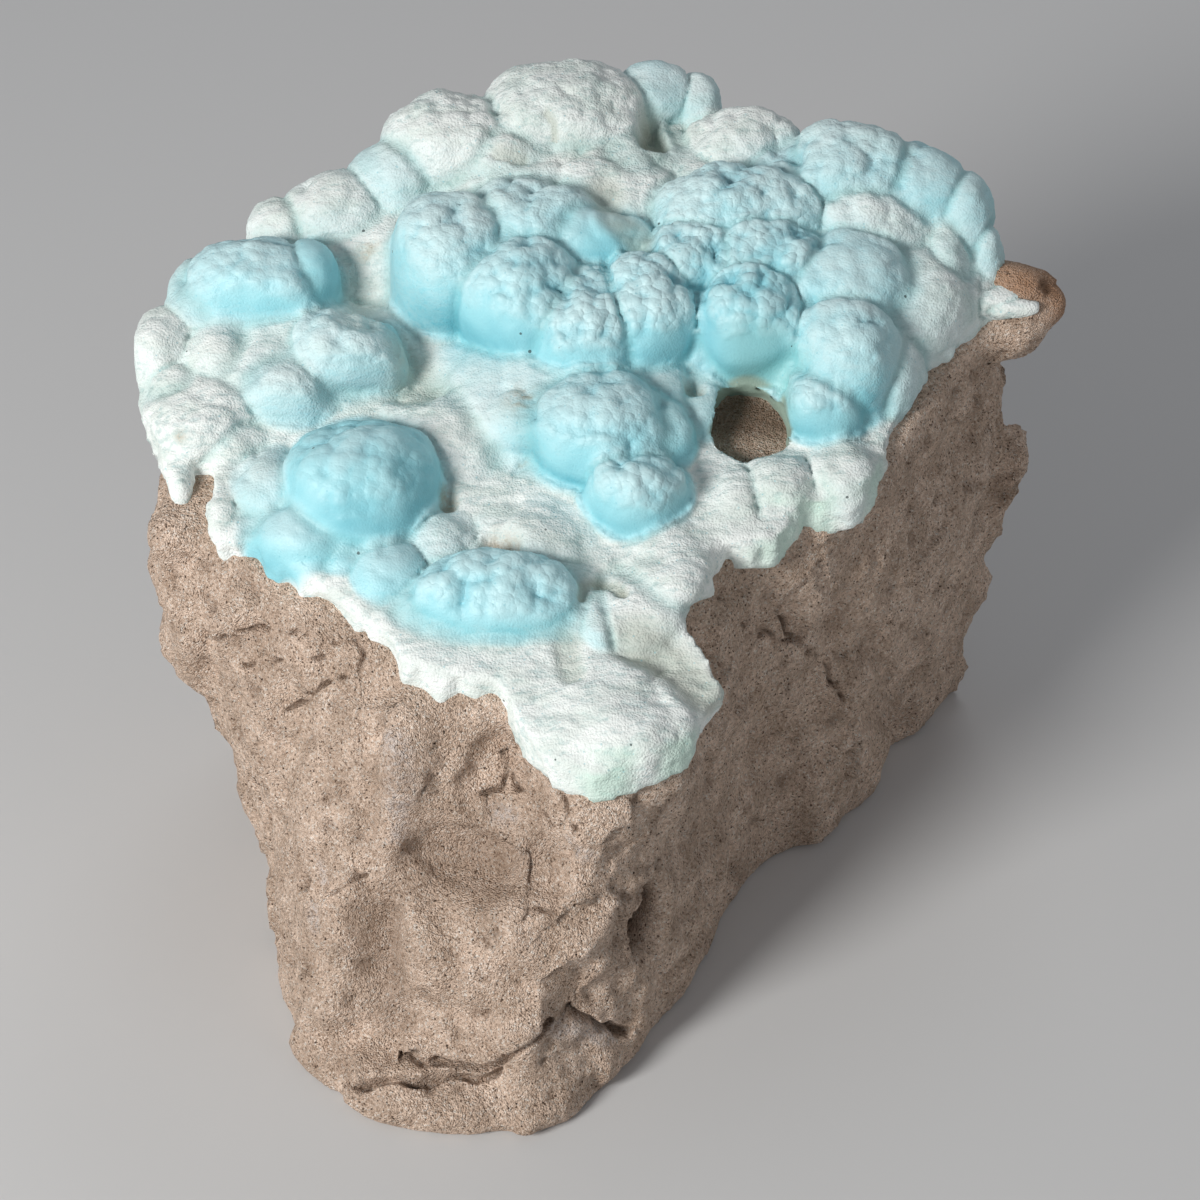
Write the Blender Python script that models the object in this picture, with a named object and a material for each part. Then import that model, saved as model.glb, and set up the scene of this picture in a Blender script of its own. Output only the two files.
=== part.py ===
"""Blue aragonite on its matrix: a sky-blue crust of rounded lumps, grown on the sloping
top of a wedge of sandy brown rock. The rock stands on a flat face at Z 0.

Lengths in the tables are millimetres. The plan is seen from above, and -Y is the side
with the blunt nose of the rock, which the crust slopes down to.
"""

from math import radians

import bmesh
import bpy
from mathutils import Matrix, Vector, noise

MM = 0.001

# The middle of the plan, brought to the origin when each piece is placed
PLAN_MIDDLE = (0.6, 5.0)

# The bed is the sloping top of the rock, which the crust grew on
BED_HEIGHT = 60.0
BED_SLOPE = 0.35

# Outlines of the rock in plan, counterclockwise from the tip of the nose
FOOT = [
    (-14, -51), (-5, -48), (4, -38), (11, -25), (15, -13),
    (22, -2), (31, 5), (38, 14), (46, 27), (53, 38),
    (38, 50), (8, 53), (-22, 50), (-40, 38), (-41, 20),
    (-41, 5), (-41, -10), (-41.5, -27), (-38, -41), (-27, -48.5),
]
WAIST = [
    (-14, -41), (-7, -43), (-1, -43), (9, -29), (13, -16),
    (20, -5), (30, 3), (39, 11), (50, 25), (58, 38),
    (42, 53), (8, 57), (-24, 53), (-46, 41), (-53, 25),
    (-53, 8), (-50, -6), (-42, -19), (-37, -29), (-26, -36),
]
BROW = [
    (-13, -31), (-7, -38), (-1, -41), (11, -31), (11, -18),
    (17, -7), (27, 0), (37, 6), (48, 22), (55, 36),
    (46, 49), (12, 58), (-22, 54), (-45, 40), (-55, 25),
    (-57, 10), (-57, -3), (-46, -13), (-36, -20), (-25, -28),
]
RIM = [
    (-12, -27), (-6, -35), (1, -38), (11, -30), (10, -17),
    (16, -7), (26, -2), (35, 2), (44, 18), (52, 31),
    (45, 46), (12, 58), (-20, 53), (-42, 39), (-53, 26),
    (-56, 12), (-54, 0), (-43, -8), (-34, -14), (-24, -22),
]
BELOW_GROUND = 4.0
WAIST_LEVEL = 0.50
BROW_LEVEL = 0.86

# Knobs that stand out of the rock: middle and half sizes
ROCK_KNOBS = [
    ((54, 31.5, 68), (6, 6.5, 6)),
    ((58, 30.5, 69.5), (2.5, 2.5, 2.5)),
    ((-53, -1, 56), (4, 4, 4.5)),
    ((-51, 3, 41), (5, 8, 7)),
]

# Forms of the rock's skin: middle, reach along X, Y and Z, and how far the skin moves,
# out where it is positive and in where it is negative
ROCK_FORMS = [
    ((-23.5, -29, 43), (3.5, 6, 11), 2.0),
    ((-26, -33, 31), (4, 5, 6), 1.6),
    ((-12.5, -30, 43), (9, 8, 7), -2.6),
    ((-15, -35, 32), (10, 7, 4), -2.4),
    ((-19.5, -38, 21), (11, 8, 11), -1.8),
    ((-7.5, -43, 18), (4.5, 7, 9), -3.0),
    ((-3.5, -44, 9), (8, 8, 4.5), -2.4),
    ((-19.5, -45, 7), (10, 8, 2.2), -2.6),
    ((-18, -49, 2), (24, 9, 4), 2.2),
    ((4.4, -34, 21), (4, 5, 5), -3.0),
    ((-37, -15, 51), (9, 8, 8), 1.6),
    ((40, 23, 3), (7, 9, 9), -5.5),
    ((30, 3, 36), (5, 6, 14), -1.8),
]
ROCK_VOXEL = 1.6
FACETS = [(18.0, 0.26), (9.0, 0.18)]
SCALLOP_SIZE = 6.0
SCALLOP_DEPTH = 0.6
BED_ROUGHNESS = 0.12
ROCK_TRIANGLES = 3300

# Edge of the crust in plan, counterclockwise from the tip of its front tongue
CRUST_EDGE = [
    (0, -38.5), (6, -36.5), (11, -33.5), (12, -30), (14.5, -26.5), (12, -21),
    (9.5, -17), (10.5, -10), (14, -7), (17.5, -7.5), (22, -7), (25, -2),
    (29, -1.5), (34, 0), (37, 8.5), (41, 18), (46, 23), (51, 27),
    (52, 33), (50, 41), (45, 47), (34, 52), (24, 54), (14, 59), (2, 62),
    (-10, 60), (-20, 55), (-32, 47), (-40, 41), (-48, 34), (-55, 28), (-59, 20),
    (-58, 12), (-55, 4), (-52.5, 0), (-51, 5), (-47.5, 4.5), (-49, -2), (-47.5, -6.5),
    (-43, -7), (-39, -11), (-33, -14), (-26, -19.5), (-23, -23.5), (-18, -25),
    (-12, -26), (-9.5, -31.5), (-5, -36.5),
]
SHEET_TOP = 2.6
SHEET_BELOW = 3.0

# Broad swellings under the lumps: place in plan, height over the bed, half sizes
SWELLINGS = [
    ((-3, 18), 0.0, (18, 16, 6.5)),
    ((20, 28), 0.0, (19, 14, 9)),
    ((36, 32), 0.0, (14, 15, 9)),
    ((-3, 44), 0.0, (24, 15, 12)),
    ((-27, 38), 0.0, (14, 9, 7.5)),
    ((-39, 24), 0.0, (15, 13, 5.5)),
    ((-50, 16), 0.0, (8, 12, 4.5)),
    ((-32, 0), 0.0, (13, 10, 4.5)),
    ((-12, -12), 0.0, (15, 9, 4)),
    ((8, -8), 0.0, (7, 10, 4)),
]

# Lumps of the crust: place in plan, height of the middle over the bed, half sizes
LUMPS = [
    # Front, from the left to the right
    ((-30, 1.5), 3.0, (9.7, 9.7, 8.5)),
    ((-36.5, -1), 1.0, (7, 7, 6)),
    ((-31, -8), 0.0, (7, 5, 4.5)),
    ((-25.5, -10.5), 1.5, (4.6, 4.6, 4.5)),
    ((-13, -14), 2.5, (10.2, 6, 6.5)),
    ((4, -1.5), 3.0, (7, 6, 6)),
    ((2, -26.5), -0.5, (11, 11, 4)),
    ((5, -13), 0.0, (7, 9, 4)),
    ((-20, -18), 0.0, (7.5, 5, 3)),
    ((21, 0), 0.0, (6.5, 6, 4)),
    # Middle
    ((1, 8), 4.0, (10, 9, 7.5)),
    ((-4, 13), 4.0, (7, 7, 7)),
    ((-9, 20), 6.0, (10, 9.5, 9.5)),
    ((2, 18), 6.5, (9, 8, 7.5)),
    ((-2, 28), 10.0, (8, 4.5, 5)),
    ((-11, 27), 8.0, (6, 5, 5.5)),
    ((-18.5, 32), 8.0, (10.5, 8.5, 7.5)),
    ((-23, 25.5), 4.5, (6, 7, 7)),
    ((-20, 11.5), 1.0, (7.6, 7, 4)),
    # Right of the middle, round the hole
    ((19.5, 21.5), 6.0, (10, 9, 9)),
    ((11, 26), 8.0, (6.5, 6, 5.5)),
    ((26, 28), 8.0, (7, 6, 5.5)),
    ((18, 37), 8.0, (11.5, 7, 6.5)),
    ((29.5, 12), 3.0, (8, 6.5, 7)),
    ((33, 19.5), 5.0, (7.5, 7, 6.5)),
    ((38.5, 20), 1.5, (4.5, 9, 6)),
    # Back right
    ((34, 39), 8.0, (11, 8.5, 8)),
    ((42, 34), 5.5, (7, 8, 8)),
    ((47, 31), 3.0, (4, 6, 8)),
    ((49.5, 37.5), 2.0, (3, 6, 6.5)),
    ((43, 41), 6.5, (7, 6, 5)),
    ((31, 30), 5.0, (6, 7, 6)),
    # Back, up to the top
    ((-1, 49), 9.0, (12.5, 9, 7)),
    ((-13, 47), 7.5, (10.5, 8, 7)),
    ((6.5, 54), 9.0, (6.6, 5, 4)),
    ((12.5, 52.5), 7.0, (4.5, 4, 4)),
    ((19, 46), 7.0, (8, 6, 5.5)),
    ((2.5, 42), 7.0, (8, 7, 5)),
    ((-6, 38), 6.0, (8, 7, 5)),
    ((-8, 55), 2.0, (9, 5, 7)),
    ((6, 57), 2.0, (9, 4.5, 6)),
    # Left
    ((-42, 27), 6.0, (8.7, 6.5, 6)),
    ((-36, 26), 4.0, (5.4, 6, 7)),
    ((-32, 19), 4.0, (7, 6, 5.5)),
    ((-38, 13.5), 3.0, (6.8, 6, 5)),
    ((-55, 19), 1.0, (4.5, 6, 5)),
    ((-52, 13.5), 1.0, (4.5, 6, 5)),
    ((-52, 6), 0.0, (3.5, 5, 4)),
    ((-43.5, 5), 0.0, (5, 5, 4)),
    ((-47.5, -4), 0.0, (3, 3, 3)),
    ((-40, 36), 2.0, (6, 5, 5)),
    ((-33, 41.5), 3.0, (6.5, 5, 6)),
    ((-25, 45), 5.0, (7, 6, 6)),
    ((-50, 25), 2.0, (6, 6, 6)),
]
HOLE_PLACE = (20.5, 11.5)
HOLE_HALF_SIZE = (5.2, 4.6)
CRUST_VOXEL = 1.1
KNOB_SIZE = 5.5
KNOB_HEIGHT = 0.7
GAP = 0.3
CRUST_TRIANGLES = 5700

# Colours, linear
SAND_BROWN = (0.45, 0.32, 0.25, 1)
SKY_BLUE = (0.42, 0.72, 0.78, 1)
ROCK_ROUGHNESS = 0.9
CRUST_ROUGHNESS = 0.45


def bed(x, y):
    """Height of the bed under a point of the plan."""
    return BED_HEIGHT + BED_SLOPE * y


def material(name, colour, roughness):
    made = bpy.data.materials.new(name)
    made.use_nodes = True
    shader = made.node_tree.nodes["Principled BSDF"]
    shader.inputs["Base Color"].default_value = colour
    shader.inputs["Roughness"].default_value = roughness
    return made


def object_of(name, bm):
    mesh = bpy.data.meshes.new(name)
    bm.to_mesh(mesh)
    bm.free()
    obj = bpy.data.objects.new(name, mesh)
    bpy.context.scene.collection.objects.link(obj)
    return obj


def loft(rings, tip):
    """A closed skin through rings of points, with a flat floor and a fan up to the tip."""
    bm = bmesh.new()
    rows = [[bm.verts.new(point) for point in ring] for ring in rings]
    count = len(rings[0])
    for low, high in zip(rows, rows[1:]):
        for i in range(count):
            j = (i + 1) % count
            bm.faces.new((low[i], low[j], high[j], high[i]))
    bm.faces.new(list(reversed(rows[0])))
    top = bm.verts.new(tip)
    for i in range(count):
        bm.faces.new((rows[-1][i], rows[-1][(i + 1) % count], top))
    bmesh.ops.triangulate(bm, faces=bm.faces[:])
    bmesh.ops.recalc_face_normals(bm, faces=bm.faces[:])
    return bm


def add_ball(bm, middle, half_size):
    fit = Matrix.Translation(middle) @ Matrix.Diagonal((*half_size, 1))
    bmesh.ops.create_icosphere(bm, subdivisions=3, radius=1.0, matrix=fit)


def apply_modifiers(obj):
    """Replaces the object's mesh by what its modifiers make of it, and removes them."""
    bpy.context.view_layer.update()
    graph = bpy.context.evaluated_depsgraph_get()
    mesh = bpy.data.meshes.new_from_object(obj.evaluated_get(graph))
    obj.modifiers.clear()
    old_mesh = obj.data
    obj.data = mesh
    bpy.data.meshes.remove(old_mesh)
    mesh.name = obj.name


def remesh(obj, voxel):
    step = obj.modifiers.new("remesh", "REMESH")
    step.mode = "VOXEL"
    step.voxel_size = voxel
    apply_modifiers(obj)


def smooth(obj, factor, times):
    step = obj.modifiers.new("smooth", "SMOOTH")
    step.factor = factor
    step.iterations = times
    apply_modifiers(obj)


def decimate(obj, triangles):
    count = sum(len(face.vertices) - 2 for face in obj.data.polygons)
    step = obj.modifiers.new("decimate", "DECIMATE")
    step.ratio = triangles / count
    apply_modifiers(obj)


def subtract(obj, tool):
    step = obj.modifiers.new("subtract", "BOOLEAN")
    step.operation = "DIFFERENCE"
    step.solver = "EXACT"
    step.object = tool
    apply_modifiers(obj)
    bpy.data.objects.remove(tool, do_unlink=True)


def displace(obj, offset_at):
    """Moves each vertex along its normal by offset_at(point, normal)."""
    bm = bmesh.new()
    bm.from_mesh(obj.data)
    bm.normal_update()
    moves = [vert.normal * offset_at(vert.co, vert.normal) for vert in bm.verts]
    for vert, move in zip(bm.verts, moves):
        vert.co += move
    bm.to_mesh(obj.data)
    bm.free()


def falloff(distance):
    """1 in the middle of a form and 0 at its reach, with a smooth slope at both."""
    return (1 - distance * distance) ** 2 if distance < 1 else 0.0


def distance_in_reaches(point, middle, reach):
    return Vector([(p - m) / r for p, m, r in zip(point, middle, reach)]).length


def facet_offset(point, size, tilt):
    """Broken faces: each cell of the rock is cut along its own tilted plane."""
    middle = noise.voronoi(point / size)[1][0]
    seed = middle * 7.31
    shifts = [Vector((0, 0, 0)), Vector((31.4, 0, 0)), Vector((0, 17.9, 0))]
    lean = Vector([noise.noise(seed + shift) for shift in shifts])
    return tilt * (point - middle * size).dot(lean) + 0.08 * size * lean.z


def scallop_offset(point, size, depth):
    """Shallow hollows with sharp rims between them."""
    return depth * 2.0 * (noise.voronoi(point / size)[0][0] - 0.5)


def rock_offset(point, normal):
    below_bed = bed(point.x, point.y) - point.z
    share = min(1.0, max(BED_ROUGHNESS, below_bed / 5.0))
    rough = sum(facet_offset(point, size, tilt) for size, tilt in FACETS)
    rough += scallop_offset(point, SCALLOP_SIZE, SCALLOP_DEPTH)
    forms = sum(
        move * falloff(distance_in_reaches(point, middle, reach))
        for middle, reach, move in ROCK_FORMS
    )
    return rough * share + forms


def knob_offset(point, normal):
    """Low rounded knobs on the upward sides of the crust."""
    nearest = noise.voronoi(point / KNOB_SIZE)[0][0]
    return KNOB_HEIGHT * max(0.0, normal.z) * (1.0 - 2.0 * nearest)


def cut_flat(obj, height):
    """Takes off what is below the height, and closes the cut with one flat face."""
    bm = bmesh.new()
    bm.from_mesh(obj.data)
    whole = bm.verts[:] + bm.edges[:] + bm.faces[:]
    cut = bmesh.ops.bisect_plane(
        bm, geom=whole, plane_co=(0, 0, height), plane_no=(0, 0, 1), clear_inner=True
    )
    rim = [part for part in cut["geom_cut"] if isinstance(part, bmesh.types.BMEdge)]
    bmesh.ops.edgenet_fill(bm, edges=rim)
    bmesh.ops.triangulate(bm, faces=bm.faces[:])
    bmesh.ops.recalc_face_normals(bm, faces=bm.faces[:])
    bm.to_mesh(obj.data)
    bm.free()


def level_foot(obj, within):
    """Brings what lies near Z 0 to exactly there, so that the underside is one plane."""
    for vert in obj.data.vertices:
        if vert.co.z < within:
            vert.co.z = 0.0


def sheet():
    """The crust's thin floor on the bed, which the lumps stand on."""
    bm = bmesh.new()
    low = [bm.verts.new((x, y, bed(x, y) - SHEET_BELOW)) for x, y in CRUST_EDGE]
    high = [bm.verts.new((x, y, bed(x, y) + SHEET_TOP)) for x, y in CRUST_EDGE]
    bm.faces.new(list(reversed(low)))
    bm.faces.new(high)
    for i in range(len(low)):
        j = (i + 1) % len(low)
        bm.faces.new((low[i], low[j], high[j], high[i]))
    bmesh.ops.triangulate(bm, faces=bm.faces[:])
    bmesh.ops.recalc_face_normals(bm, faces=bm.faces[:])
    return bm


def hole_cutter():
    """The upright well in the crust, which goes down to the rock."""
    bm = bmesh.new()
    x, y = HOLE_PLACE
    fit = Matrix.Translation((x, y, bed(x, y) + 8))
    fit = fit @ Matrix.Diagonal((*HOLE_HALF_SIZE, 1, 1))
    bmesh.ops.create_cone(
        bm, cap_ends=True, segments=24, radius1=1.0, radius2=1.0, depth=24, matrix=fit
    )
    return object_of("hole_cutter", bm)


def grown_copy(obj, distance):
    copy = bpy.data.objects.new(obj.name + "_grown", obj.data.copy())
    bpy.context.scene.collection.objects.link(copy)
    displace(copy, lambda point, normal: distance)
    return copy


def place(obj, dressed_in, sharp_from):
    move = Matrix.Translation((-PLAN_MIDDLE[0], -PLAN_MIDDLE[1], 0))
    obj.data.transform(Matrix.Scale(MM, 4) @ move)
    obj.data.shade_smooth()
    obj.data.set_sharp_from_angle(angle=radians(sharp_from))
    obj.data.materials.clear()
    obj.data.materials.append(dressed_in)


# Clean start
for old in list(bpy.data.objects):
    bpy.data.objects.remove(old, do_unlink=True)

# Rock
rings = [[(x, y, -BELOW_GROUND) for x, y in FOOT], [(x, y, 0) for x, y in FOOT]]
for outline, level in ((WAIST, WAIST_LEVEL), (BROW, BROW_LEVEL), (RIM, 1.0)):
    rings.append([(x, y, level * bed(x, y)) for x, y in outline])
skin = loft(rings, (0, 12, bed(0, 12)))
for middle, half_size in ROCK_KNOBS:
    add_ball(skin, middle, half_size)
rock = object_of("matrix_rock", skin)
remesh(rock, ROCK_VOXEL)
displace(rock, rock_offset)
cut_flat(rock, 0.0)
decimate(rock, ROCK_TRIANGLES)
level_foot(rock, within=0.3)

# Crust
skin = sheet()
for (x, y), height, half_size in SWELLINGS + LUMPS:
    add_ball(skin, (x, y, bed(x, y) + height), half_size)
crust = object_of("aragonite_crust", skin)
remesh(crust, CRUST_VOXEL)
smooth(crust, 0.5, 2)
displace(crust, knob_offset)
decimate(crust, CRUST_TRIANGLES)
subtract(crust, hole_cutter())
subtract(crust, grown_copy(rock, GAP))

place(rock, material("sandy_rock", SAND_BROWN, ROCK_ROUGHNESS), sharp_from=30)
place(crust, material("aragonite", SKY_BLUE, CRUST_ROUGHNESS), sharp_from=50)
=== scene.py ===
# %% [markdown]
# A specimen of blue aragonite on its matrix: a crust of rounded, knobbly, sky-blue and
# white lumps on the sloping top of a wedge of sandy brown rock. The CAD frame gives the
# size and the main forms. This lesson dresses it in two pieces, the rock and the crust.
# Lengths in the tables below are millimetres, and the meshes are in metres.

from math import cos, radians, sin

import bmesh
import bpy
import numpy as np
from mathutils import Matrix, Vector, noise
from mathutils.bvhtree import BVHTree
from mathutils.kdtree import KDTree


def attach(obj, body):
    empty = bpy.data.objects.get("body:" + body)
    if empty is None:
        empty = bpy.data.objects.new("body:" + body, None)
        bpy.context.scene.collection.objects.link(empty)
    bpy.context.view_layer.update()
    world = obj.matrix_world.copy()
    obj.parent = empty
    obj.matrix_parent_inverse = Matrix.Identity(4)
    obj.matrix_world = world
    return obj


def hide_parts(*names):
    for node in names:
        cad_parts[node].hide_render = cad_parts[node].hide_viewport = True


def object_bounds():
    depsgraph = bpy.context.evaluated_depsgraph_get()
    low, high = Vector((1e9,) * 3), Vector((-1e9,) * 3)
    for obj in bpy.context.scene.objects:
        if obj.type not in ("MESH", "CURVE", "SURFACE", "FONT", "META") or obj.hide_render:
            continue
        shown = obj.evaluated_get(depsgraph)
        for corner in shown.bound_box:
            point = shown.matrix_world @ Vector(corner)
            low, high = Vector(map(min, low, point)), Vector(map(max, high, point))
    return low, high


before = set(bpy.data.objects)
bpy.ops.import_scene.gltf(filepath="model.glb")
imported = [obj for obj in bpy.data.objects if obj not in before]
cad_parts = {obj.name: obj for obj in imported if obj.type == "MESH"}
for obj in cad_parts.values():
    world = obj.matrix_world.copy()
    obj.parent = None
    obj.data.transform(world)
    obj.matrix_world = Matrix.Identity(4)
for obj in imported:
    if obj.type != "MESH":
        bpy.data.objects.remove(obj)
cad_box = [list(corner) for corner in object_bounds()]
MM = 0.001
cad_low = np.array(cad_box[0]) / MM
cad_high = np.array(cad_box[1]) / MM
print("CAD box in mm:", cad_low.round(1), cad_high.round(1))

# %% [markdown]
# The plan in the tables is the one that the specimen was measured in. Its middle is
# moved to the origin, so every place taken from a table is shifted by the same amount.
# The bed is the sloping top of the rock: it drops 19 degrees towards the blunt nose,
# which faces -Y and the camera. A round well in the crust shows that bed.

# %% The shared measures
PLAN_MIDDLE = (0.6, 5.0)
BED_HEIGHT = 60.0
BED_SLOPE = 0.35
WELL_PLACE = (18.8, 9.9)
WELL_HEIGHT = 0.5
WELL_HALF_SIZE = (5.5, 6.1, 6.8)


def bed(x, y):
    """Height of the bed under a point of the plan."""
    return BED_HEIGHT + BED_SLOPE * y


def on_bed(x, y, height=0.0):
    """A point of the plan, this far over the bed, in the frame's own place."""
    return Vector((x - PLAN_MIDDLE[0], y - PLAN_MIDDLE[1], bed(x, y) + height))


# %% [markdown]
# The photograph looks down on the specimen at 38 degrees with a long lens. The same
# view here is a 100 mm lens on a 36 mm sensor, at the distance where one pixel of the
# 1200 pixel frame covers 0.128 mm at the middle of the specimen.

# %% Camera
PHOTO_SIDE = 1200
LOOK_DOWN = radians(38.0)
LENS = 100.0
SENSOR = 36.0
MM_PER_PIXEL = 0.128
view_distance = PHOTO_SIDE * MM_PER_PIXEL * LENS / SENSOR
target = Vector((-PLAN_MIDDLE[0], -PLAN_MIDDLE[1], 45.0))
backwards = Vector((0, -cos(LOOK_DOWN), sin(LOOK_DOWN)))
eye = target + view_distance * backwards

camera_data = bpy.data.cameras.new("camera")
camera_data.lens = LENS
camera_data.sensor_width = SENSOR
camera_data.clip_start = 0.01
camera = bpy.data.objects.new("camera", camera_data)
camera.location = eye * MM
camera.rotation_euler = (radians(90) - LOOK_DOWN, 0, 0)
bpy.context.scene.collection.objects.link(camera)
bpy.context.scene.camera = camera
print("camera distance in mm:", round(view_distance, 1))

# %% [markdown]
# Marks on the stone, such as cracks and stains, are found by their pixel in the
# photograph. A ray from the camera through that pixel gives the point of the surface
# that the mark sits on, so the mark stays there seen from any side.

# %% From a photo pixel to the surface
PIXELS_PER_UNIT = PHOTO_SIDE * LENS / SENSOR


def tree_of(obj):
    bm = bmesh.new()
    bm.from_mesh(obj.data)
    tree = BVHTree.FromBMesh(bm)
    bm.free()
    return tree


def ray_through(column, row):
    upwards = Vector((0, sin(LOOK_DOWN), cos(LOOK_DOWN)))
    ray = -backwards * PIXELS_PER_UNIT
    ray += Vector((1, 0, 0)) * (column - PHOTO_SIDE / 2)
    ray += upwards * (PHOTO_SIDE / 2 - row)
    return ray.normalized()


def photo_point(tree, column, row):
    """The point, in mm, where the ray through a pixel of the photograph meets a surface."""
    place = tree.ray_cast(eye * MM, ray_through(column, row))[0]
    return None if place is None else np.array(place) / MM


def over_pixel(column, row, height):
    """The point, in mm, where that ray is this far over the bed."""
    ray = ray_through(column, row)
    bed_at_eye = bed(0, eye.y + PLAN_MIDDLE[1]) + height
    return eye + ray * (bed_at_eye - eye.z) / (ray.z - BED_SLOPE * ray.y)


# %% [markdown]
# Two small sets of helpers follow. The first reads and writes a mesh's points as one
# numpy array, which is quick even for 100,000 points, and writes masks: a number for
# each point, which a material reads by its name.

# %% Mesh helpers
def read_vectors(obj, kind):
    flat = np.empty(len(obj.data.vertices) * 3, np.float32)
    obj.data.vertices.foreach_get(kind, flat)
    return flat.reshape(-1, 3).astype(float)


def points_of(obj):
    return read_vectors(obj, "co") / MM


def set_points(obj, points):
    obj.data.vertices.foreach_set("co", (points * MM).astype(np.float32).ravel())
    obj.data.update()


def set_mask(obj, name, values):
    layer = obj.data.attributes.new(name, "FLOAT", "POINT")
    layer.data.foreach_set("value", np.clip(values, 0, 1).astype(np.float32))


def smoothstep(low, high, values):
    """Runs softly from 0 at low to 1 at high, which may also be the smaller of the two."""
    t = np.clip((values - low) / (high - low), 0, 1)
    return t * t * (3 - 2 * t)


# %% [markdown]
# The second set makes an object from a bmesh, and runs a modifier and keeps its result,
# so that each finished piece is a plain mesh at the origin.

# %% Modifier helpers
def object_of(name, bm):
    mesh = bpy.data.meshes.new(name)
    bm.to_mesh(mesh)
    bm.free()
    obj = bpy.data.objects.new(name, mesh)
    bpy.context.scene.collection.objects.link(obj)
    return obj


def run_modifier(obj, kind, **settings):
    step = obj.modifiers.new(kind.lower(), kind)
    for key, value in settings.items():
        setattr(step, key, value)
    bpy.context.view_layer.update()
    graph = bpy.context.evaluated_depsgraph_get()
    mesh = bpy.data.meshes.new_from_object(obj.evaluated_get(graph))
    obj.modifiers.clear()
    old_mesh = obj.data
    obj.data = mesh
    bpy.data.meshes.remove(old_mesh)


def remesh(obj, voxel):
    run_modifier(obj, "REMESH", mode="VOXEL", voxel_size=voxel * MM)


def smooth(obj, factor, times):
    run_modifier(obj, "SMOOTH", factor=factor, iterations=times)


# %% [markdown]
# Natural surfaces need noise at several sizes. `cells` gives the distance to the
# nearest point of a scatter, and from it come the pits and crumbs. `waves` is a smooth
# cloudy noise, and `facets` gives flat breaks. All three are the same on every run.

# %% Noise helpers
TAG_MIX = (12.9898, 78.233, 37.719)
LEAN_SPREAD = 7.31
LEAN_SHIFTS = [Vector((0, 0, 0)), Vector((31.4, 0, 0)), Vector((0, 17.9, 0))]


def cells(points, size):
    """Distance to the nearest scatter point, and a steady number from 0 to 1 per cell."""
    found = np.empty((len(points), 2))
    for i, point in enumerate(points):
        distances, middles = noise.voronoi(Vector(point / size))
        middle = middles[0]
        tag = (middle.x * TAG_MIX[0] + middle.y * TAG_MIX[1] + middle.z * TAG_MIX[2]) % 1.0
        found[i] = distances[0], tag
    return found


def waves(points, size, octaves, shift):
    """Cloudy noise round 0, from bumps of this size and finer ones."""
    shifted = points / size + shift
    return np.array([noise.fractal(Vector(p), 1.0, 2.0, octaves) for p in shifted])


def wobble(points, size, reach, shifts):
    """The points, each moved a little by waves, so that lines through them run unevenly."""
    return points + reach * np.stack([waves(points, size, 2, s) for s in shifts], axis=1)


def facets(points, size):
    """Broken faces: inside each cell the surface follows that cell's own tilted plane."""
    offset = np.empty(len(points))
    for i, point in enumerate(points):
        place = Vector(point)
        middle = noise.voronoi(place / size)[1][0]
        lean = Vector([noise.noise(middle * LEAN_SPREAD + shift) for shift in LEAN_SHIFTS])
        offset[i] = (place - middle * size).dot(lean)
    return offset


def distance_to_line(points, line):
    """Distance of each point to a line of straight stretches."""
    nearest = np.full(len(points), np.inf)
    for a, b in zip(line, line[1:]):
        stretch = b - a
        along = (points - a) @ stretch / max(stretch @ stretch, 1e-9)
        foot = a + np.clip(along, 0, 1)[:, None] * stretch
        nearest = np.minimum(nearest, np.linalg.norm(points - foot, axis=1))
    return nearest


def near_lines(points, lines, reach, full=0.0):
    """1 within the distance full of any of these lines, and 0 from the distance reach on."""
    near = np.zeros(len(points))
    for line in lines:
        near = np.maximum(near, smoothstep(reach, full, distance_to_line(points, line)))
    return near


# %% [markdown]
# The rock is a crumbly, sandy stone broken off its bed. Its main forms are in the CAD
# node, so a merged copy of that mesh is the start. A voxel remesh gives it even, small
# faces, and a few rounds of smoothing take the edges off the coarse triangles before
# the fine breaks are added.

# %% Rock blank
ROCK_VOXEL = 0.79
MERGE_DISTANCE = 1e-6

rock_bm = bmesh.new()
rock_bm.from_mesh(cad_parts["matrix_rock"].data)
bmesh.ops.remove_doubles(rock_bm, verts=rock_bm.verts[:], dist=MERGE_DISTANCE)
rock = object_of("rock_body", rock_bm)
remesh(rock, ROCK_VOXEL)
smooth(rock, 0.6, 12)
print("rock points:", len(rock.data.vertices))

# %% [markdown]
# The cracks, the thin ledges at the toe and the dark slot are traced through pixels of
# the photograph. Each line is cast onto the blank, and the points of the mesh near it
# are pushed in. Broad forms, such as ridges and hollows, are strokes of the same kind:
# a line of pixels, its reach in mm, and its push outwards in mm.

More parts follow.
